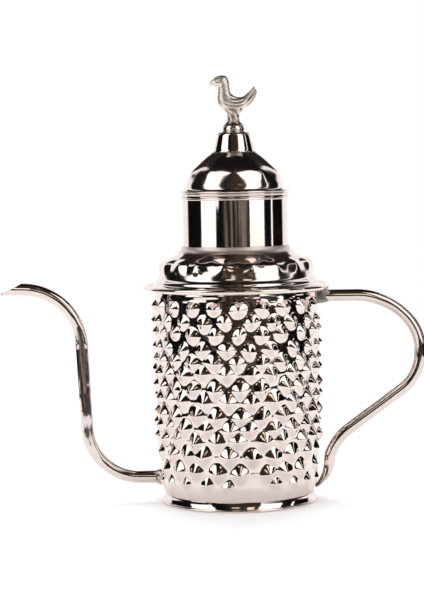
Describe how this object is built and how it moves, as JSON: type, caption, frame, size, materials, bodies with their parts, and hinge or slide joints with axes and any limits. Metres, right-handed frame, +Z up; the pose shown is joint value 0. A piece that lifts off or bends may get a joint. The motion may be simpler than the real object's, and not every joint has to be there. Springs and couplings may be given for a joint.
{
  "type": "dallah coffee pot",
  "caption": "Studded sheet-metal coffee pot with a long bent tube spout, tube loop handle, domed shoulder and a lift-off domed lid topped by a cast bird.",
  "frame": {"origin": "on the pot's axis, on the surface that the foot stands on", "axes": "+Z up, +X towards the handle, -X towards the spout"},
  "size_m": [0.2694, 0.1186, 0.2693],
  "materials": {
    "embossed_plate": "polished",
    "plain_plate": "polished",
    "tube_plate": "polished",
    "cast_plate": "satin",
    "solder": "matte",
    "tinned": "satin",
    "fastener_brass": "satin"
  },
  "bodies": {
    "pot": {"foot_ring": "plain_plate", "base_disc": "tinned", "body_wall": "embossed_plate", "seam_ring": "plain_plate", "shoulder_dome": "embossed_plate", "neck_tube": "plain_plate", "neck_band": "plain_plate", "spout_tube": "tube_plate", "spout_collar": "solder", "spout_strainer": "tinned", "handle_tube": "tube_plate", "handle_saddle": "solder"},
    "lid": {"lid_brim": "plain_plate", "lid_sleeve": "tinned", "lid_dome": "embossed_plate", "lid_cup": "plain_plate", "finial_pedestal": "plain_plate", "bird": "cast_plate", "finial_stud": "fastener_brass", "finial_washer": "fastener_brass", "finial_nut": "fastener_brass"}
  },
  "joints": [
    {"name": "lid_lift", "type": "slide", "parent": "pot", "child": "lid", "axis": [0, 0, 1], "range_m": [0, 0.08]}
  ]
}
